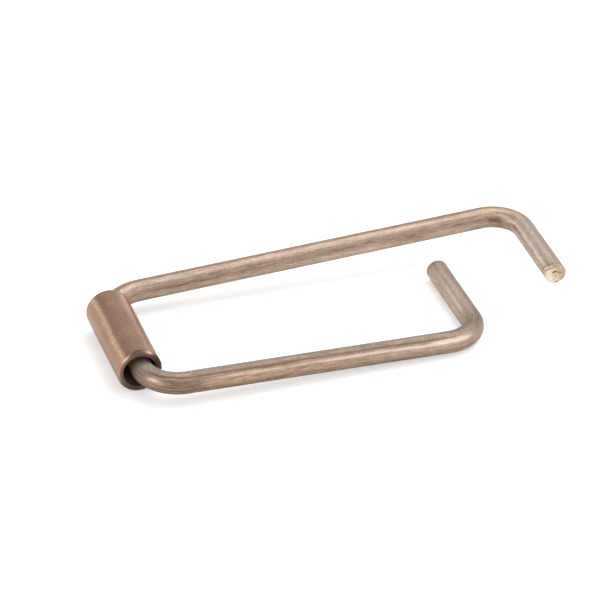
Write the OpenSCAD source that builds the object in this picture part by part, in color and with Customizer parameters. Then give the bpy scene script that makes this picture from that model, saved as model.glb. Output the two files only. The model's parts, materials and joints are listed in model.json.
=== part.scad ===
// Spring clip: one round bronze wire bent into an open loop with a hook at each end,
// and a loose sleeve that turns on the wire's short cross leg.
// +X runs along the two arms to the hooks, +Y from the near arm to the far arm,
// and +Z up from the surface on which the clip lies.

/* [Wire] */
// Diameter of the drawn wire
wire_d = 3.175; // [2.5:0.025:3.3]
// Radius of each bend, on the wire's centreline
bend_r = 5; // [4:0.1:6.5]
// Chamfer round each cut end
tip_chamfer = 0.25; // [0.1:0.05:0.6]

/* [Arms and hooks] */
// Near arm, from the cross leg's axis to the near hook's axis
near_arm = 48.95; // [36:0.05:56]
// Far arm, from the cross leg's axis to the far hook's axis
far_arm = 62.85; // [60:0.05:90]
// Near hook, from the near arm's axis to its tip
near_hook = 19.5; // [10:0.1:20]
// Far hook, from the far arm's axis to its tip
far_hook = 17.85; // [10:0.05:24]
// Angle between the arms about the cross leg, which is the spring's set
arm_splay = 4.23; // [2:0.01:8]
// Droop of the far hook about its arm, in degrees
far_hook_droop = 2.05; // [0:0.05:6]

/* [Sleeve] */
// Bore of the sleeve
sleeve_bore_d = 4.76; // [4.6:0.02:5]
// Thickness of the sleeve's wall
sleeve_wall = 0.85; // [0.8:0.05:2]
// Length of the sleeve
sleeve_len = 17.4; // [12:0.1:24]
// Rounding of the sleeve's outer rims
sleeve_rim_r = 0.35; // [0.1:0.05:0.5]
// Chamfer at each mouth of the bore
mouth_chamfer = 0.2; // [0.05:0.05:0.25]

/* [Wire in the sleeve] */
// Length of each bend that reaches into the bore, with the sleeve at the middle of the leg
bend_entry = 1.2; // [0.3:0.1:1.5]
// How far the sleeve lies from the middle of the leg, towards the far arm
sleeve_shift = 0.35; // [0:0.05:0.6]
// Least gap between the wire and the bore
seat_gap = 0.03; // [0.02:0.01:0.1]
// Side of the bore to which the wire lies, in degrees below level towards the hooks
seat_side = 25; // [0:1:90]

/* [Hidden] */
$fn = 96;
wire_colour = [0.66, 0.57, 0.49];
sleeve_colour = [0.56, 0.44, 0.36];
wire_r = wire_d / 2;
bore_r = sleeve_bore_d / 2;
sleeve_r = bore_r + sleeve_wall;
half_sleeve = sleeve_len / 2;
// Half the cross leg, from its middle to the arm's axis
half_leg = half_sleeve - bend_entry + bend_r;
// Length of the far bend inside the full bore, and how far it strays from the leg's axis there
bend_in_bore = bend_entry + sleeve_shift - mouth_chamfer;
bend_stray = bend_r - sqrt(bend_r * bend_r - bend_in_bore * bend_in_bore);
// Distance of the wire's axis from the sleeve's axis
wire_offset = bore_r - wire_r - seat_gap - bend_stray * cos(seat_side);
leg_x = wire_offset * cos(seat_side);
leg_z = sleeve_r - wire_offset * sin(seat_side);
// Fall of the near arm that brings its hook down to the surface
near_arm_fall = asin((leg_z - wire_r) / near_arm);
// Reach of the far arm from the sleeve's axis, and the place that centres the clip
far_reach = leg_x + far_arm * cos(arm_splay - near_arm_fall) + wire_r;
sleeve_x = (sleeve_r - far_reach) / 2;

// Straight wire along +Z, with what follows at its end
module straight(length) {
    cylinder(d = wire_d, h = length);
    translate([0, 0, length]) children();
}

// Right-angled bend of the wire from +Z to +X, with what follows at its end
module bend() {
    translate([bend_r, 0, 0]) {
        rotate([90, 0, 180])
            rotate_extrude(angle = 90)
            translate([bend_r, 0])
            circle(d = wire_d);
        rotate([0, 90, 0])
            translate([-bend_r, 0, 0])
            children();
    }
}

// Cut end of the wire with its edge taken off
module tip() {
    cylinder(d1 = wire_d, d2 = wire_d - 2 * tip_chamfer, h = tip_chamfer);
}

// One side of the clip, from the middle of the cross leg to the tip of its hook
module side(arm, hook, hook_twist) {
    straight(half_leg - bend_r)
        bend()
        straight(arm - 2 * bend_r)
        rotate([0, 0, hook_twist])
        bend()
        straight(hook - bend_r - tip_chamfer)
        tip();
}

module bent_wire() {
    color(wire_colour)
        translate([sleeve_x + leg_x, 0, leg_z])
        rotate([0, near_arm_fall, 0]) {
            rotate([90, 0, 0]) side(near_arm, near_hook, 0);
            rotate([0, -arm_splay, 0])
                rotate([-90, 0, 0])
                side(far_arm, far_hook, far_hook_droop);
        }
}

// Half of the sleeve's wall in section, from its middle to one mouth
module half_wall() {
    rim_x = sleeve_r - sleeve_rim_r;
    rim_y = half_sleeve - sleeve_rim_r;
    polygon([
        [bore_r, 0],
        [sleeve_r, 0],
        [sleeve_r, rim_y],
        [rim_x, rim_y],
        [rim_x, half_sleeve],
        [bore_r + mouth_chamfer, half_sleeve],
        [bore_r, half_sleeve - mouth_chamfer]
    ]);
    translate([rim_x, rim_y])
        intersection() {
            circle(r = sleeve_rim_r);
            square(sleeve_rim_r);
        }
}

module roller_sleeve() {
    color(sleeve_colour)
        translate([sleeve_x, sleeve_shift, sleeve_r])
        rotate([90, 0, 0])
        rotate_extrude() {
            half_wall();
            mirror([0, 1]) half_wall();
        }
}

bent_wire();
roller_sleeve();
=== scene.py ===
import json
import math

import bpy
import numpy as np
from mathutils import Matrix, Vector


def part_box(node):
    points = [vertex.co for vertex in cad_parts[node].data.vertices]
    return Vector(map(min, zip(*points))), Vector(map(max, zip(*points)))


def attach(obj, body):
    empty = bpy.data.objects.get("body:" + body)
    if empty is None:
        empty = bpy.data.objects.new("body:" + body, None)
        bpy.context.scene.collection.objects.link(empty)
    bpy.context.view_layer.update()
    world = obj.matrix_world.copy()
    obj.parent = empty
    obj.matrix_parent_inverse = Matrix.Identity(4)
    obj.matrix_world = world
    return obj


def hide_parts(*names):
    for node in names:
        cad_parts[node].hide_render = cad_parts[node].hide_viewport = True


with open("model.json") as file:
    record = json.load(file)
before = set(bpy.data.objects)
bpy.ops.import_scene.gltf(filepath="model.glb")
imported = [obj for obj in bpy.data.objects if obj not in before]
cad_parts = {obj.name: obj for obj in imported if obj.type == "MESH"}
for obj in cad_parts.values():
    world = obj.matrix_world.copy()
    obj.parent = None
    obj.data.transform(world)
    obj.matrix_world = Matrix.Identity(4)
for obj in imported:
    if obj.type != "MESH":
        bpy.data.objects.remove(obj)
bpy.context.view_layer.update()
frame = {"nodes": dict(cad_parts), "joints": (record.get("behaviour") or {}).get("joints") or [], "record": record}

# Sizes in metres, taken from the frame where it gives them
MM = 0.001
mounts = {mount["name"]: mount for mount in frame["record"]["mounts"]}
wire_r = mounts["near_hook"]["dims"]["r_mm"] * MM
wire_low, wire_high = (np.array(corner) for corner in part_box("bent_wire"))
sleeve_low, sleeve_high = (np.array(corner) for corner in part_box("roller_sleeve"))
sleeve_axis = np.array(frame["joints"][0]["pos_m"])
bend_r = 5 * MM
tip_chamfer = 0.25 * MM
near_edge_r = 0.30 * MM
far_edge_r = 0.10 * MM
far_lead = 2.4 * MM
sleeve_bore_r = 2.38 * MM
sleeve_rim_r = 0.35 * MM
sleeve_shoulder = 1.2 * MM
far_mouth_chamfer = 0.2 * MM
near_mouth_chamfer = 0.06 * MM

# Fineness of the surfaces
ring_step = 0.25 * MM
fine_step = 0.06 * MM
edge_rings = 6
face_rings = 24
wire_sides = 96
sleeve_sides = 192
plain_rings = 23
shoulder_rings = 12
rim_rings = 12
end_rings = 5
chamfer_rings = 3
bore_rings = 30

# Camera, as the photograph was taken
view_azimuth = math.radians(17.85)
view_elevation = math.radians(31.83)
view_roll = math.radians(-0.24)
view_distance = 481.6 * MM
view_target = Vector((-2.28, 7.55, 0)) * MM
view_lens = 198
view_sensor = 36
view_nearest, view_furthest = 0.01, 10


def unit(vectors):
    """Vectors over their own lengths."""
    return vectors / np.linalg.norm(vectors, axis=-1, keepdims=True)


def turned(vector, axis, angles):
    """A vector turned about a unit axis by each angle.

    Its part along the axis stays, and the rest goes round.
    """
    along = axis * (vector @ axis)
    across = vector - along
    cosines, sines = np.cos(angles)[:, None], np.sin(angles)[:, None]
    return along + across * cosines + np.cross(axis, across) * sines


def steps(start, end, count):
    """Even steps from start to end, without the start itself."""
    return np.linspace(start, end, count + 1)[1:]


def smooth(low, high, values):
    """0 below low, 1 above high, and 3t² - 2t³ between them."""
    t = np.clip((values - low) / (high - low), 0, 1)
    return t * t * (3 - 2 * t)


def wrapped(degrees):
    """The same angles, from -180 to 180."""
    return (degrees + 180) % 360 - 180


def hump(distance, half):
    """1 at no distance, falling to 1/e at the half width."""
    return np.exp(-((distance / half) ** 2))


def bell(degrees, middle, half):
    """1 at the middle angle, falling to 1/e at the half width to each side."""
    return hump(wrapped(degrees - middle), half)


def wave(length):
    """Rate of a sine that has the given wavelength."""
    return 2 * math.pi / length


def ripple(waves, *axes):
    """Sum of sines of the axes, one for each row: height, a rate for each axis, and a phase."""
    return sum(
        height * np.sin(sum(rate * axis for rate, axis in zip(rates, axes)) + phase)
        for height, *rates, phase in waves
    )


def centreline_corners():
    """The wire's six corners: tip, hook corner, leg corner, leg corner, hook corner and tip."""
    arm_y = {"near_hook": wire_low[1] + wire_r, "far_hook": wire_high[1] - wire_r}
    ends = {}
    for name, y in arm_y.items():
        place = np.array(mounts[name]["pos_m"])
        axis = unit(np.array(mounts[name]["axis"]))
        half = mounts[name]["dims"]["length_mm"] * MM / 2
        ends[name] = place + axis * (half + tip_chamfer), place + axis * ((y - place[1]) / axis[1])
    points = np.array([vertex.co for vertex in frame["nodes"]["bent_wire"].data.vertices])
    in_sleeve = np.all((points > sleeve_low) & (points < sleeve_high), axis=1)
    leg_x = wire_low[0] + wire_r
    leg_z = (points[in_sleeve, 2].min() + points[in_sleeve, 2].max()) / 2
    legs = [np.array([leg_x, y, leg_z]) for y in arm_y.values()]
    return np.array([*ends["near_hook"], *legs, *ends["far_hook"][::-1]])


def bent_path(corners, radius, step):
    """Line through the corners with a round bend at each.

    Gives places, headings, sides, distances run, and the distances at which bends start and end.
    A bend starts a tangent length before its corner, which is the radius times the tan of half the
    turn. In it the heading and the side vector turn together about the normal of the two straights,
    so the side never twists, and the place runs round the bend's centre. On a straight, heading and
    side stay.
    """
    headings = unit(np.diff(corners, axis=0))
    start = corners[0]
    side = np.array([0, 0, 1.0])
    runs = []

    def straight(end, heading, last=False):
        """Places from the start to an end, which only the last straight takes in."""
        count = int(round(np.linalg.norm(end - start) / step))
        along = np.linspace(0, 1, count + last, endpoint=last)[:, None]
        places = start + (end - start) * along
        return places, np.broadcast_to(heading, places.shape), np.broadcast_to(side, places.shape)

    for corner, before, after in zip(corners[1:-1], headings[:-1], headings[1:]):
        turn = math.acos(before @ after)
        axis = unit(np.cross(before, after))
        tangent = radius * math.tan(turn / 2)
        entry = corner - before * tangent
        runs.append(straight(entry, before))
        angles = np.linspace(0, turn, int(round(radius * turn / step)), endpoint=False)
        spoke = -np.cross(axis, before) * radius
        runs.append((
            entry - spoke + turned(spoke, axis, angles),
            turned(before, axis, angles),
            turned(side, axis, angles),
        ))
        start = corner + after * tangent
        side = turned(side, axis, np.array([turn]))[0]
    runs.append(straight(corners[-1], headings[-1], last=True))
    places, heads, sides = (np.concatenate(parts) for parts in zip(*runs))
    run = np.concatenate([[0], np.cumsum(np.linalg.norm(np.diff(places, axis=0), axis=1))])
    joins = run[np.cumsum([len(part[0]) for part in runs])[:-1]]
    return places, heads, sides, run, joins


def mesh_piece(name, points, faces, attributes):
    """Mesh object at the origin from points and faces, smooth shaded.

    Each attribute has one value or vector for each point.
    """
    mesh = bpy.data.meshes.new(name)
    mesh.from_pydata(points, [], faces)
    for key, values in attributes.items():
        kind, field = ("FLOAT_VECTOR", "vector") if values.ndim == 2 else ("FLOAT", "value")
        layer = mesh.attributes.new(key, kind, "POINT")
        layer.data.foreach_set(field, values.astype(np.float32).ravel())
    mesh.shade_smooth()
    piece = bpy.data.objects.new(name, mesh)
    bpy.context.scene.collection.objects.link(piece)
    return piece


def ring_faces(rings, sides, closed=False):
    """Quads between each ring and the next, closed round the ring.

    They face away from the line the rings are strung on. A closed row of rings ends at its first.
    """
    rows = rings if closed else rings - 1
    ring, spot = np.meshgrid(np.arange(rows), np.arange(sides), indexing="ij")
    here, there = ring * sides, (ring + 1) % rings * sides
    following = (spot + 1) % sides
    quads = here + spot, here + following, there + following, there + spot
    return np.stack(quads, axis=-1).reshape(-1, 4)


def wire_finish(run, angles, joins):
    """Finish of the wire at each ring and angle, as three arrays: burnish, grey and dull.

    The first array is painted light: 0 on the brown skin, up to 1 for painted highlights and glints,
    and below 0 for painted shade and dark reflections. Grey is 1 where the skin has lost its brown,
    and below 0 where it is browner. Dull is 1 where the wire is rough and matt, in the mouth of the
    sleeve. Each is a sum of strips. A strip is its strength times a bell round its own angle, times a
    fade in and out along its own stretch of the wire. Slow sines bend the strips a little to and fro.
    Lengths here are in millimetres.
    """
    run = run / MM
    hook_end, near_start, near_end, leg_start, _, far_start, far_end, hook_start = joins / MM
    tip = run[-1]
    near_middle = (near_start + near_end) / 2
    far_middle = (far_start + far_end) / 2
    mouth_end = leg_start + 7
    all_round = 400
    least_grey, most_grey = -0.5, 1
    degrees = np.degrees(angles)
    sway = ripple([(1.6, wave(31), 0.4), (0.9, wave(11), 2.1)], run)[:, None]

    def strips(*rows):
        """Sum of strips, a row each: strength, start, end, fade, angle and half width."""
        total = 0
        for strength, start, end, fade, angle, half in rows:
            rising = smooth(start - fade, start + fade, run)
            falling = 1 - smooth(end - fade, end + fade, run)
            along = (rising * falling)[:, None]
            total = total + strength * along * bell(degrees, angle + sway, half)
        return total

    painted_light = strips(
        # Near tip's rounded edge, darker: a painted dark reflection
        (-0.30, -1, 0.5, 0.15, 0, all_round),
        # Near hook: painted highlights along its upper side
        (0.46, 0, hook_end, 3, 40, 10),
        (0.06, 0, hook_end, 3, 60, 50),
        (0.32, 0, hook_end, 3, 18, 32),
        (0.14, 0, hook_end, 3, 90, 35),
        # Near bend: painted shade, with a painted glint where it comes into the arm
        (-0.12, hook_end - 1, near_start, 2, -15, 50),
        (0.85, near_start - 2.4, near_start + 3, 1.5, -51, 11),
        # Near arm: its painted highlight line, the painted dark reflection line and band above it, and painted
        # light and shade on the brown side below it
        (0.40, near_start, near_end - 2.5, 2.5, -57, 8),
        (0.25, near_start - 2, near_middle, 4, -57, 8),
        (-0.44, near_start, leg_start - 4, 3, -33, 6),
        (-0.30, near_start, leg_start - 7, 3, -20, 15),
        (0.12, near_start, leg_start, 3, 20, 14),
        (0.07, near_start, near_end, 3, -74, 9),
        (0.02, near_start, leg_start, 3, -85, 22),
        (-0.08, near_start, leg_start, 3, -106, 14),
        # Bend into the sleeve: painted shade, then a painted glint, then painted shade on the wire in the mouth
        (-0.26, near_end - 2, near_end + 2.8, 1, -68, 20),
        (-0.12, near_end - 3, leg_start, 3, -100, 30),
        (0.75, near_end + 3.4, near_end + 4.7, 0.8, -62, 10),
        (-0.26, leg_start - 1.5, mouth_end, 2, 0, all_round),
        # Far arm: a painted reflection lighter along its lower side, a painted dark line, and painted shade on top
        # near its end
        (0.17, far_start, far_end, 3, 114, 26),
        (0.22, far_middle, far_end, 12, 86, 20),
        (-0.12, far_start, far_end, 3, 62, 11),
        (-0.07, far_end - 9, far_end + 1, 3, 15, 32),
        # Far bend: painted shade inside, and painted highlights round the outside
        (-0.42, far_end + 0.8, far_end + 3.5, 1, 70, 28),
        (0.19, far_end + 2, hook_start + 1, 2, 10, 45),
        (0.32, far_end + 4.8, hook_start, 1, 58, 16),
        # Far hook: painted highlights
        (0.34, far_end, tip, 3, 45, 11),
        (0.28, hook_start, tip, 3, 84, 35),
        (0.12, hook_start, tip, 3, 25, 12),
        (0.32, hook_start, tip, 3, 10, 40),
        # Painted highlight lines and painted dark reflection lines on the sides turned away from the camera
        (0.45, near_start, near_end, 3, 62, 9),
        (-0.25, near_start, near_end, 3, 43, 6),
        (0.45, far_start, hook_start, 3, -62, 9),
        (-0.25, far_start, far_end, 3, -43, 6),
        (0.40, 0, hook_end, 3, -78, 10),
        (0.40, hook_start, tip, 3, -78, 10),
    )
    grey = strips(
        # Near tip's rounded edge, greyer as a painted reflection, and the hook
        (1.30, -1, 0.5, 0.15, 0, all_round),
        (0.38, 0, near_start, 3, 20, 80),
        # Near arm: grey above, browner below, and grey in the mouth
        (0.50, near_start, leg_start, 3, 10, 40),
        (-0.22, near_middle, leg_start - 4, 8, -85, 50),
        (0.15, leg_start - 3, mouth_end, 1.5, 0, all_round),
        # Far arm and hook
        (0.30, far_start, far_end, 3, 26, 16),
        (0.42, hook_start, tip, 3, 30, 80),
        # Sides that the photograph doesn't show
        (0.45, near_start, near_end, 3, 95, 45),
        (0.45, far_start, far_end, 3, -90, 45),
        (0.35, 0, hook_end, 3, -100, 40),
        (0.35, far_end, tip, 3, -100, 40),
    )
    dull = strips((1.0, leg_start - 2.5, mouth_end, 1.2, 0, all_round))
    return painted_light, np.clip(grey, least_grey, most_grey), dull


def sheared_face(radii, degrees):
    """Far cut at each radius and angle: its depth below a flat end, and how dark, pale and grey.

    Where the shears went in, the edge is rolled over: a bell of the angle times a power of the
    radius. A tear follows a parabola across the face and a groove runs inside the rolled edge, each
    a bell of the distance from its line. Small dents are bells round their own places, and sines of
    the two face directions are the shear marks. The face is pale towards its lower left and in one
    spot, a painted highlight, and grey along its right edge. Lengths here are in millimetres, right
    and up on the face.
    """
    edge = wire_r / MM
    radii = radii / MM
    right = -radii * np.sin(np.radians(degrees))
    up = radii * np.cos(np.radians(degrees))

    roll_depth, roll_angle, roll_half, roll_power = 0.90, 72, 46, 2.4
    rolled = roll_depth * bell(degrees, roll_angle, roll_half) * (radii / edge) ** roll_power

    tear_right, tear_up, tear_curve, tear_depth = -0.12, 0.44, 0.9, 0.13
    tear_line = tear_up - tear_curve * (right - tear_right) ** 2
    tear_thin, tear_thicker, thick_right, thick_half = 0.065, 0.12, -0.15, 0.25
    tear_half = tear_thin + tear_thicker * hump(right - thick_right, thick_half)
    tear_start, tear_stop = (-0.65, -0.45), (0.6, 0.8)
    torn = smooth(*tear_start, right) * (1 - smooth(*tear_stop, right))
    tear = torn * hump(up - tear_line, tear_half)

    groove_inset, groove_half, groove_depth = 0.30, 0.075, 0.09
    groove_out = 35, 95
    groove_r = edge - groove_inset * (1 - smooth(*groove_out, wrapped(degrees)))
    groove = hump(radii - groove_r, groove_half) * bell(degrees, 42, 40)

    dent_places = (0.06, -0.25), (0.80, 0.02), (1.27, -0.70), (0.0, -1.54)
    dent_sizes = 0.09, 0.10, 0.16, 0.36
    dent_depth = 0.12
    dents = sum(
        hump(np.hypot(right - dent_right, up - dent_up), size)
        for (dent_right, dent_up), size in zip(dent_places, dent_sizes)
    )

    shear_waves = (0.012, wave(0.55), wave(0.80), 0.7), (0.010, wave(0.33), -wave(0.47), 2.9)
    marks_power, marks_height = 4, 0.022
    marks = ripple(shear_waves, right, up) * (1 - (radii / edge) ** marks_power) + marks_height

    depth = rolled + tear_depth * tear + groove_depth * groove + dent_depth * dents + marks
    dark = np.clip(tear + groove + dents, 0, 1)

    # Painted highlight: the face is paler towards its lower left and in one spot
    pale_lean, pale_edges = 0.35, (-1.1, 1.3)
    spot_right, spot_up, spot_half, spot_share = 0.62, 0.12, 0.14, 0.8
    ash_start, ash_full = edge - 0.55, edge - 0.30
    spot = hump(np.hypot(right - spot_right, up - spot_up), spot_half)
    pale = 1 - smooth(*pale_edges, right + pale_lean * up) + spot_share * spot
    ash = smooth(ash_start, ash_full, radii) * bell(degrees, 285, 50)
    return depth * MM, dark, pale, ash


def tip_rings(edge, lead, place, heading, side):
    """Rings from the end of the line to just before the pole: the lead, the rounded edge, the face.

    The radius goes round a quarter circle of the edge and then straight in, and the ring moves out
    along the heading by what the quarter circle gives.
    """
    straight = steps(0, lead, int(lead / fine_step))
    quarter = steps(0, math.pi / 2, edge_rings)
    inward = steps(1, 0, face_rings + 1)[:-1]
    radii = np.concatenate([
        np.full(len(straight), wire_r),
        wire_r - edge + edge * np.cos(quarter),
        (wire_r - edge) * inward,
    ])
    out = np.concatenate([
        straight,
        lead + edge * np.sin(quarter),
        np.full(face_rings, lead + edge),
    ])
    on_face = np.concatenate([np.zeros(len(straight)), np.ones(edge_rings + face_rings)])
    centres = place + heading * out[:, None]
    heads, sides = (np.broadcast_to(vector, centres.shape) for vector in (heading, side))
    return radii, centres, heads, sides, out, on_face


def drawn_wire():
    """The wire: a circle carried along the bent line, closed by a face at each tip.

    Each point is the line's place plus the ring's radius times cos a of the side vector plus sin a
    of the binormal. At the far tip it then goes back along the heading by the depth of the sheared
    face, which fades out along the last stretch of the wire. Angle 0 is the top and a quarter turn
    is the inner side of the loop. The far tip's lip is cut metal too, and a dark line runs round it.
    """
    corners = centreline_corners()
    headings = unit(np.diff(corners, axis=0))
    corners[0] += headings[0] * near_edge_r
    corners[-1] -= headings[-1] * (far_edge_r + far_lead)
    places, heads, sides, run, joins = bent_path(corners, bend_r, ring_step)

    near_tip = tip_rings(near_edge_r, 0, places[0], -heads[0], sides[0])
    near_radii, near_centres, near_heads, near_sides, near_out, _ = near_tip
    far_tip = tip_rings(far_edge_r, far_lead, places[-1], heads[-1], sides[-1])
    far_radii, far_centres, far_heads, far_sides, far_out, far_on_face = far_tip
    radii = np.concatenate([near_radii[::-1], np.full(len(places), wire_r), far_radii])[:, None]
    centres = np.concatenate([near_centres[::-1], places, far_centres])
    heads = np.concatenate([-near_heads, heads, far_heads])
    sides = np.concatenate([near_sides, sides, far_sides])
    reach = np.concatenate([-near_out[::-1], run, run[-1] + far_out])
    before_far = np.zeros(len(radii) - len(far_radii))
    on_face = np.concatenate([before_far, far_on_face])[:, None]
    fade = np.concatenate([before_far, np.minimum(far_out / far_lead, 1)])[:, None]

    angles = np.linspace(0, 2 * math.pi, wire_sides, endpoint=False)
    degrees = np.degrees(angles)
    depth, dark, pale, ash = (part * fade for part in sheared_face(radii, degrees))
    spokes = (
        np.cos(angles)[None, :, None] * sides[:, None]
        + np.sin(angles)[None, :, None] * np.cross(heads, sides)[:, None]
    )
    points = centres[:, None] + spokes * radii[..., None] - heads[:, None] * depth[..., None]

    lip_width = 0.22 * MM
    # Painted shade in a thin line just behind the lip, darker and browner
    line_inset, line_half = 0.34 * MM, 0.1 * MM
    line_darker, line_browner = 0.65, 0.9
    lip = bell(degrees, 45, 45) * smooth(1 - lip_width / far_lead, 1, fade)
    line = bell(degrees, 42, 38) * hump((1 - fade) * far_lead - line_inset, line_half)
    painted_light, grey, dull = wire_finish(reach, angles, joins)
    looks = {
        "drawn": np.stack(np.broadcast_arrays(
            radii * np.cos(angles), radii * np.sin(angles), reach[:, None] - depth
        ), axis=-1),
        "cut": np.maximum(on_face, lip),
        "pit": dark * on_face,
        "pale": pale,
        "painted_light": painted_light - line_darker * line,
        "grey": grey * (1 - on_face) + ash * on_face - line_browner * line,
        "dull": dull,
    }

    points, *values = (
        np.concatenate([part.reshape(-1, *part.shape[2:]), part[[0, -1]].mean(axis=1)])
        for part in (points, *looks.values())
    )
    rings = len(radii)
    near_pole, far_pole = rings * wire_sides, rings * wire_sides + 1
    spot = np.arange(wire_sides)
    following = (spot + 1) % wire_sides
    last_ring = (rings - 1) * wire_sides
    fans = np.concatenate([
        np.stack([np.full(wire_sides, near_pole), following, spot], axis=-1),
        np.stack([np.full(wire_sides, far_pole), last_ring + spot, last_ring + following], axis=-1),
    ])
    faces = ring_faces(rings, wire_sides).tolist() + fans.tolist()
    return mesh_piece("drawn_wire", points, faces, dict(zip(looks, values)))


def sleeve_half(outer_r, half, chamfer):
    """Half the sleeve's wall in section, from its middle along the outside and back in the bore.

    The rim is a quarter circle, the end face runs straight in from it, and the mouth's chamfer leads
    to the bore. Gives each point's radius, its distance from the sleeve's middle, and its distance
    along the section past the start of the rim and past the end of the chamfer.
    """
    plain = half - sleeve_rim_r
    shoulder = plain - sleeve_shoulder
    face_r = outer_r - sleeve_rim_r
    lip_r = sleeve_bore_r + chamfer
    quarter = steps(0, math.pi / 2, rim_rings)
    radii = np.concatenate([
        np.full(1 + plain_rings + shoulder_rings, outer_r),
        face_r + sleeve_rim_r * np.cos(quarter),
        steps(face_r, lip_r, end_rings),
        steps(lip_r, sleeve_bore_r, chamfer_rings),
        np.full(bore_rings, sleeve_bore_r),
    ])
    runs = np.concatenate([
        [0],
        steps(0, shoulder, plain_rings),
        steps(shoulder, plain, shoulder_rings),
        plain + sleeve_rim_r * np.sin(quarter),
        np.full(end_rings, half),
        steps(half, half - chamfer, chamfer_rings),
        steps(half - chamfer, 0, bore_rings),
    ])
    along = np.concatenate([[0], np.cumsum(np.hypot(np.diff(radii), np.diff(runs)))])
    past_rim = along - plain
    mouth = sleeve_rim_r * math.pi / 2 + face_r - lip_r + chamfer * math.sqrt(2)
    return radii, runs, past_rim, past_rim - mouth


def turned_sleeve():
    """The sleeve: its closed wall section carried round the sleeve's axis.

    On the near end the dull face starts at an edge that lies at the start of the rim on the right
    and at its end on the left, and in each mouth the dark bore starts past the chamfer: smooth steps
    of the distance along the section. Painted shade is a bell of that distance along the dull face's
    upper edge, with bells of the angle at the face's right and bottom. Worn spots with painted glints
    are bells of the angle on the rims. The scuff, which carries a painted highlight, is a bell of the
    angle that sways along the sleeve. Painted bands of light and shade, lighter towards the far end,
    are a sum of bells. Angle 0 is the right and a quarter turn is the top.
    """
    outer_r = (sleeve_high[0] - sleeve_low[0]) / 2
    half = (sleeve_high[1] - sleeve_low[1]) / 2
    far_half = sleeve_half(outer_r, half, far_mouth_chamfer)
    near_half = sleeve_half(outer_r, half, near_mouth_chamfer)
    section_r, section_y, past_rim, past_mouth = (
        np.concatenate([far, near[-2:0:-1]])[:, None] for far, near in zip(far_half, near_half)
    )
    near = np.arange(len(section_r))[:, None] >= len(far_half[0])
    section_y = np.where(near, -section_y, section_y)
    angles = np.linspace(0, 2 * math.pi, sleeve_sides, endpoint=False)
    points = np.stack(np.broadcast_arrays(
        section_r * np.cos(angles), section_y, section_r * np.sin(angles)
    ), axis=-1) + sleeve_axis

    edge_half, edge_line_half, bore_fade = 0.12 * MM, 0.13 * MM, 0.4 * MM
    sway_angle, sway_length, light_band_fade = 2.5, 2.2 * MM, 6 * MM
    left_start, left_stop = (93, 127), (190, 240)
    degrees = np.degrees(angles)
    left = smooth(*left_start, degrees) * (1 - smooth(*left_stop, degrees))
    edge = sleeve_rim_r * math.pi / 2 * np.where(near, left, 1)
    end = smooth(edge - edge_half, edge + edge_half, past_rim)
    rim = np.sin(2 * np.clip(past_rim / sleeve_rim_r, 0, math.pi / 2))
    # Worn spots on the rims, with painted glints on them
    near_worn_glints = bell(degrees, 132, 11) + bell(degrees, 62, 10)
    far_worn_glints = 0.5 * bell(degrees, 140, 25)
    # Painted shade: a dark line along the dull face's upper edge, and darker patches at its right and bottom
    edge_line = hump(past_rim - edge, edge_line_half) * bell(degrees, 98, 22)
    right_shade = 0.42 * bell(degrees, 22, 34)
    bottom_shade = 0.35 * bell(degrees, 268, 30)
    swayed = degrees + sway_angle * np.sin(section_y / sway_length)
    looks = {
        "end": end,
        "bore": smooth(0, bore_fade, past_mouth),
        # Worn spots with painted glints
        "worn_glint": rim * np.where(near, near_worn_glints, far_worn_glints),
        # Painted shade on the near end
        "painted_shade": near * np.clip(edge_line + end * (right_shade + bottom_shade), 0, 1),
        # A speckled scuff that carries a painted highlight along the sleeve
        "scuff_sheen": bell(swayed, 133, 15) * (1 - end),
        # Painted bands of light and shade round the sleeve, lighter towards the far end
        "light_bands": (
            0.08 * bell(degrees, 82, 26)
            - 0.26 * bell(degrees, 154, 13)
            - 0.12 * bell(degrees, 118, 7)
            + 0.15 * bell(degrees, 108, 32) * smooth(0, light_band_fade, section_y)
        ),
    }

    looks = {key: np.broadcast_to(part, end.shape).ravel() for key, part in looks.items()}
    turned_over = [0, 3, 2, 1]
    faces = ring_faces(len(section_r), sleeve_sides, closed=True)[:, turned_over]
    return mesh_piece("turned_sleeve", points.reshape(-1, 3), faces.tolist(), looks)


def shader(material_name):
    """New node material: its tree and its Principled shader, with all metal set."""
    material = bpy.data.materials.new(material_name)
    material.use_nodes = True
    principled = material.node_tree.nodes["Principled BSDF"]
    principled.inputs["Metallic"].default_value = 1
    return material, material.node_tree, principled


def put(tree, socket, value):
    """Links a socket to another one, or sets it to a constant."""
    if isinstance(value, bpy.types.NodeSocket):
        tree.links.new(value, socket)
    else:
        socket.default_value = value


def add_node(tree, kind, inputs=None, **settings):
    """Adds a node, sets its properties, and sets or links each named or numbered input."""
    made = tree.nodes.new(kind)
    for key, value in settings.items():
        setattr(made, key, value)
    for key, value in (inputs or {}).items():
        put(tree, made.inputs[key], value)
    return made


def attribute(tree, name, output="Fac"):
    """One of the piece's own attributes."""
    return add_node(tree, "ShaderNodeAttribute", attribute_name=name).outputs[output]


def blend(tree, kind, share, one, other):
    """Colour one with the other laid over it by its share, in the given kind of blend."""
    mix = add_node(tree, "ShaderNodeMix", data_type="RGBA", blend_type=kind)
    sockets = [socket for socket in mix.inputs if socket.enabled]
    for socket, value in zip(sockets, (share, one, other)):
        put(tree, socket, value)
    return next(socket for socket in mix.outputs if socket.enabled)


def stretched_noise(tree, place, rates, detail, roughness):
    """Noise of a place, with its own rate along each axis, as a value about 0.5."""
    stretched = add_node(tree, "ShaderNodeMapping", {"Vector": place, "Scale": rates}).outputs[0]
    inputs = {"Vector": stretched, "Scale": 1.0, "Detail": detail, "Roughness": roughness}
    return add_node(tree, "ShaderNodeTexNoise", inputs).outputs["Fac"]


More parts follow.
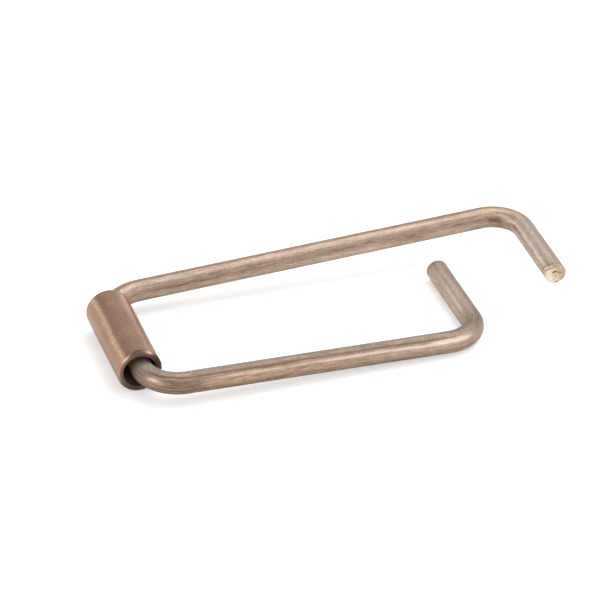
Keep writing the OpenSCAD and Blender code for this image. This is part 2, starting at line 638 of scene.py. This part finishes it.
def arithmetic(tree, operation, *values):
    """One Math node's result."""
    inputs = dict(enumerate(values))
    return add_node(tree, "ShaderNodeMath", inputs, operation=operation).outputs[0]


def sum_of(tree, *terms, offset=0.0):
    """Sum of values, each times its own share, plus an offset."""
    total = offset
    for value, share in terms:
        total = arithmetic(tree, "MULTIPLY_ADD", value, share, total)
    return total


def colour_ramp(tree, value, stops):
    """Colour of a value, straight between stops of place and colour."""
    ramp = add_node(tree, "ShaderNodeValToRGB", {"Fac": value})
    elements = ramp.color_ramp.elements
    while len(elements) < len(stops):
        elements.new(1.0)
    for element, (place, colour) in zip(elements, stops):
        element.position = place
        element.color = (*colour, 1)
    return ramp.outputs["Color"]


def bumps(tree, height, distance):
    """Normal bent by a height."""
    strength = 0.6
    inputs = {"Height": height, "Strength": strength, "Distance": distance}
    return add_node(tree, "ShaderNodeBump", inputs).outputs[0]


def drawn_bronze():
    """Wire finish: brown skinned bronze with lengthwise drawing streaks and mottling.

    Noise stretched along the drawn coordinates gives the streaks, rounder noise the mottling. Their
    sum with the painted light attribute, which holds painted highlights, glints and shade, runs from
    dark skin through brown to bright metal. Grey skin has less of the streaks and more of the
    mottling. The fresh cut tip is paler still, with dark pits and a painted highlight towards its
    lower left.
    """
    material, tree, principled = shader("drawn_bronze")
    drawn = attribute(tree, "drawn", "Vector")
    names = "painted_light", "grey", "dull", "cut", "pit", "pale"
    painted_light, grey, dull, cut, pit, pale = (attribute(tree, name) for name in names)
    streaks = stretched_noise(tree, drawn, (3800, 3800, 120), detail=2, roughness=0.5)
    scratches = stretched_noise(tree, drawn, (7000, 7000, 650), detail=2, roughness=0.6)
    grain = stretched_noise(tree, drawn, (9000, 9000, 3200), detail=2, roughness=0.6)
    blotches = stretched_noise(tree, drawn, (900, 900, 420), detail=4, roughness=0.6)
    tints = stretched_noise(tree, drawn, (1500, 1500, 380), detail=3, roughness=0.6)

    noise_mean, skin_mean, ramp_share = 0.5, 0.40, 0.6
    streak_share, scratch_share, grain_share, blotch_share = 0.70, 0.95, 0.70, 0.35
    lengthwise = sum_of(
        tree, (streaks, streak_share), (scratches, scratch_share),
        offset=-noise_mean * (streak_share + scratch_share),
    )
    mottled = sum_of(
        tree, (grain, grain_share), (blotches, blotch_share),
        offset=-noise_mean * (grain_share + blotch_share),
    )
    length_share = sum_of(tree, (grey, -1.3), offset=1.0)
    mottle_share = sum_of(tree, (grey, 0.6), offset=1.0)
    terms = (lengthwise, length_share), (mottled, mottle_share), (painted_light, 1.0)
    level = sum_of(tree, (sum_of(tree, *terms, offset=skin_mean), ramp_share))
    skin = colour_ramp(tree, level, (
        (0.0, (0.21, 0.143, 0.10)),
        (0.24, (0.455, 0.333, 0.247)),
        (0.42, (0.66, 0.497, 0.385)),
        (0.60, (0.92, 0.72, 0.57)),
        (1.0, (1.0, 0.90, 0.76)),
    ))
    tint = colour_ramp(tree, tints, (
        (0.32, (0.94, 1.0, 0.93)),
        (0.50, (1.0, 0.995, 1.01)),
        (0.68, (1.07, 0.955, 0.985)),
    ))
    tinted = blend(tree, "MULTIPLY", 1.0, skin, tint)

    pit_brown = (0.19, 0.12, 0.07, 1)
    # Paleness carries the cut face's painted highlight as well as its mottling
    paleness = sum_of(tree, (blotches, 1.8), (grain, 0.8), (pale, 0.7), offset=-1.32)
    clean = colour_ramp(tree, paleness, (
        (0.0, (0.56, 0.40, 0.26)),
        (0.4, (0.82, 0.64, 0.455)),
        (0.9, (1.0, 0.91, 0.73)),
    ))
    fresh = blend(tree, "MIX", pit, clean, pit_brown)
    base = blend(tree, "MIX", cut, tinted, fresh)
    brownness = sum_of(tree, (grey, -0.6), offset=1.0)
    ashen = add_node(tree, "ShaderNodeHueSaturation", {"Saturation": brownness, "Color": base})

    metal = sum_of(tree, (dull, -0.75), offset=1.0)
    rough = sum_of(tree, (scratches, 0.16), (painted_light, -0.12), (dull, 0.3), offset=0.34)
    height = sum_of(tree, (streaks, 0.7), (scratches, 0.5), (grain, 0.3), (blotches, 0.4))
    put(tree, principled.inputs["Base Color"], ashen.outputs[0])
    put(tree, principled.inputs["Metallic"], metal)
    put(tree, principled.inputs["Roughness"], rough)
    put(tree, principled.inputs["Normal"], bumps(tree, height, 0.05 * MM))
    return material


def copper_brown():
    """Sleeve finish: darker copper brown, satin and finely grained.

    The ends are dull and dark, with painted shade on the near end, and the bore nearly black. The rims
    are worn, with painted glints, a speckled scuff with a painted highlight runs along the sleeve, and
    painted bands of light and shade run round it.
    """
    material, tree, principled = shader("copper_brown")
    spot = add_node(tree, "ShaderNodeTexCoord").outputs["Object"]
    names = "end", "bore", "worn_glint", "painted_shade", "scuff_sheen", "light_bands"
    end, bore, worn_glint, painted_shade, scuff_sheen, light_bands = (attribute(tree, name) for name in names)
    grain = stretched_noise(tree, spot, (3800, 3800, 3800), detail=3, roughness=0.6)
    cloud = stretched_noise(tree, spot, (330, 260, 330), detail=3, roughness=0.5)
    speckle = stretched_noise(tree, spot, (5200, 2600, 5200), detail=2, roughness=0.6)

    # Colour of the scuff with its painted highlight
    scuff_sheen_metal = (0.86, 0.63, 0.47, 1)
    # Colour of the worn rims' painted glints
    worn_glint_metal = (0.93, 0.66, 0.49, 1)
    # Colour of the painted shade
    shade_black = (0.075, 0.048, 0.04, 1)
    # The skin's level takes in the painted bands of light and shade
    level = sum_of(tree, (grain, 0.5), (cloud, 0.9), (light_bands, 1.0), offset=-0.20)
    skin = colour_ramp(tree, level, (
        (0.0, (0.34, 0.195, 0.127)),
        (0.5, (0.49, 0.292, 0.197)),
        (1.0, (0.68, 0.44, 0.31)),
    ))
    dull = colour_ramp(tree, cloud, ((0.3, (0.19, 0.127, 0.094)), (0.7, (0.31, 0.213, 0.16))))
    black = colour_ramp(tree, grain, ((0.3, (0.26, 0.17, 0.12)), (0.7, (0.42, 0.28, 0.20))))
    scuff_sheen_level = sum_of(tree, (scuff_sheen, 0.55), (speckle, 1.0))
    scuff_sheen_range = {"Value": scuff_sheen_level, "From Min": 0.92, "From Max": 1.30}
    scuff_sheen_share = add_node(tree, "ShaderNodeMapRange", scuff_sheen_range).outputs[0]
    scuff_sheened = blend(tree, "MIX", scuff_sheen_share, skin, scuff_sheen_metal)
    ends = blend(tree, "MIX", end, scuff_sheened, dull)
    # Painted shade laid over the ends
    with_shade = blend(tree, "MIX", painted_shade, ends, shade_black)
    # Painted glints on the worn rims
    worn_glinted = blend(tree, "MIX", worn_glint, with_shade, worn_glint_metal)
    base = blend(tree, "MIX", bore, worn_glinted, black)

    rough = sum_of(tree, (grain, 0.14), (end, 0.38), (worn_glint, -0.25), (bore, 0.1), offset=0.18)
    put(tree, principled.inputs["Base Color"], base)
    put(tree, principled.inputs["Roughness"], rough)
    put(tree, principled.inputs["Normal"], bumps(tree, grain, 0.03 * MM))
    return material


def mirror_ray(tree, rays):
    """1 on a ray that was mirrored or let through, else 0."""
    return arithmetic(tree, "MAXIMUM", rays["Is Glossy Ray"], rays["Is Transmission Ray"])


def white_floor():
    """Floor: pale matt white that takes the shadow, lifted a little to the camera."""
    reach = 2.0
    pale_white = (0.85, 0.85, 0.85, 1)
    camera_lift, mirror_lift = 0.44, 0.05
    corners = [(-reach, -reach, 0), (reach, -reach, 0), (reach, reach, 0), (-reach, reach, 0)]
    mesh = bpy.data.meshes.new("floor")
    mesh.from_pydata(corners, [], [(0, 1, 2, 3)])
    floor = bpy.data.objects.new("floor", mesh)
    bpy.context.scene.collection.objects.link(floor)
    material = bpy.data.materials.new("floor_white")
    material.use_nodes = True
    tree = material.node_tree
    tree.nodes.clear()
    matt = add_node(tree, "ShaderNodeBsdfDiffuse", {"Color": pale_white}).outputs[0]
    rays = add_node(tree, "ShaderNodeLightPath").outputs
    lifts = (rays["Is Camera Ray"], camera_lift), (mirror_ray(tree, rays), mirror_lift)
    glow = add_node(tree, "ShaderNodeEmission", {"Strength": sum_of(tree, *lifts)}).outputs[0]
    both = add_node(tree, "ShaderNodeAddShader", {0: matt, 1: glow}).outputs[0]
    add_node(tree, "ShaderNodeOutputMaterial", {"Surface": both})
    mesh.materials.append(material)


def smooth_range(tree, value, low, high, at_low=0.0, at_high=1.0):
    """Value taken from low and high to the two results, with soft ends."""
    inputs = {
        "Value": value,
        "From Min": low,
        "From Max": high,
        "To Min": at_low,
        "To Max": at_high,
    }
    kind = "ShaderNodeMapRange"
    return add_node(tree, kind, inputs, interpolation_type="SMOOTHSTEP").outputs[0]


def studio_world():
    """World: white to the camera, and to reflections near the horizon; above it a room.

    The room is brighter on the camera's side and a little to the right, and on the right the white
    doesn't reach as high.
    """
    white = (1, 1, 1, 1)
    room_front, room_back, room_right, room_lift = 0.85, 0.52, 0.10, 0.02
    front_y, back_y = -0.3, 0.4
    white_below, room_above, rise_right, rise_lift = 0.24, 0.40, 0.13, 0.07
    world = bpy.data.worlds.new("studio")
    bpy.context.scene.world = world
    world.use_nodes = True
    tree = world.node_tree
    tree.nodes.clear()
    rays = add_node(tree, "ShaderNodeLightPath").outputs
    heading = add_node(tree, "ShaderNodeTexCoord").outputs["Generated"]
    parts = add_node(tree, "ShaderNodeSeparateXYZ", {0: heading}).outputs
    rise = sum_of(tree, (parts["Z"], 1.0), (parts["X"], rise_right), offset=rise_lift)
    low = smooth_range(tree, rise, room_above, white_below)
    backdrop = arithmetic(tree, "MULTIPLY", mirror_ray(tree, rays), low)
    shown = arithmetic(tree, "MAXIMUM", rays["Is Camera Ray"], backdrop)
    depth_level = smooth_range(tree, parts["Y"], front_y, back_y, room_front, room_back)
    level = sum_of(tree, (depth_level, 1.0), (parts["X"], room_right), offset=room_lift)
    room = add_node(tree, "ShaderNodeBackground", {"Color": white, "Strength": level}).outputs[0]
    plain = add_node(tree, "ShaderNodeBackground", {"Color": white, "Strength": 1.0}).outputs[0]
    mixed = add_node(tree, "ShaderNodeMixShader", {0: shown, 1: room, 2: plain}).outputs[0]
    add_node(tree, "ShaderNodeOutputWorld", {"Surface": mixed})


def softbox(name, place, aim, width, depth, power, mirrored):
    """Rectangular area lamp at a place, facing its aim, seen in reflections or not."""
    lamp = bpy.data.lights.new(name, "AREA")
    lamp.shape = "RECTANGLE"
    lamp.size, lamp.size_y = width, depth
    lamp.energy = power
    box = bpy.data.objects.new(name, lamp)
    box.location = place
    box.rotation_euler = (Vector(aim) - Vector(place)).to_track_quat("-Z", "Y").to_euler()
    box.visible_glossy = mirrored
    bpy.context.scene.collection.objects.link(box)


def camera():
    """Camera at the photograph's azimuth, elevation and distance from its target, with its lens."""
    back = Vector((
        -math.sin(view_azimuth) * math.cos(view_elevation),
        -math.cos(view_azimuth) * math.cos(view_elevation),
        math.sin(view_elevation),
    ))
    lens = bpy.data.cameras.new("camera")
    lens.lens = view_lens
    lens.sensor_width = view_sensor
    lens.clip_start, lens.clip_end = view_nearest, view_furthest
    body = bpy.data.objects.new("camera", lens)
    body.location = view_target + back * view_distance
    level = (-back).to_track_quat("-Z", "Y").to_matrix()
    body.rotation_euler = (level @ Matrix.Rotation(view_roll, 3, "Z")).to_euler()
    bpy.context.scene.collection.objects.link(body)
    bpy.context.scene.camera = body


wire = drawn_wire()
wire.data.materials.append(drawn_bronze())
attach(wire, "clip")
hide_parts("bent_wire")

sleeve = turned_sleeve()
sleeve.data.materials.append(copper_brown())
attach(sleeve, "sleeve")
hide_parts("roller_sleeve")

white_floor()
studio_world()
softbox(
    "overhead", place=(0.26, 0.17, 0.55), aim=(0.26, 0.17, 0),
    width=0.55, depth=0.5, power=1.5, mirrored=True,
)
softbox(
    "side", place=(0.30, 0.12, 0.40), aim=(0, 0, 0),
    width=0.25, depth=0.25, power=0.4, mirrored=False,
)
camera()
bpy.context.scene.view_settings.view_transform = "Standard"
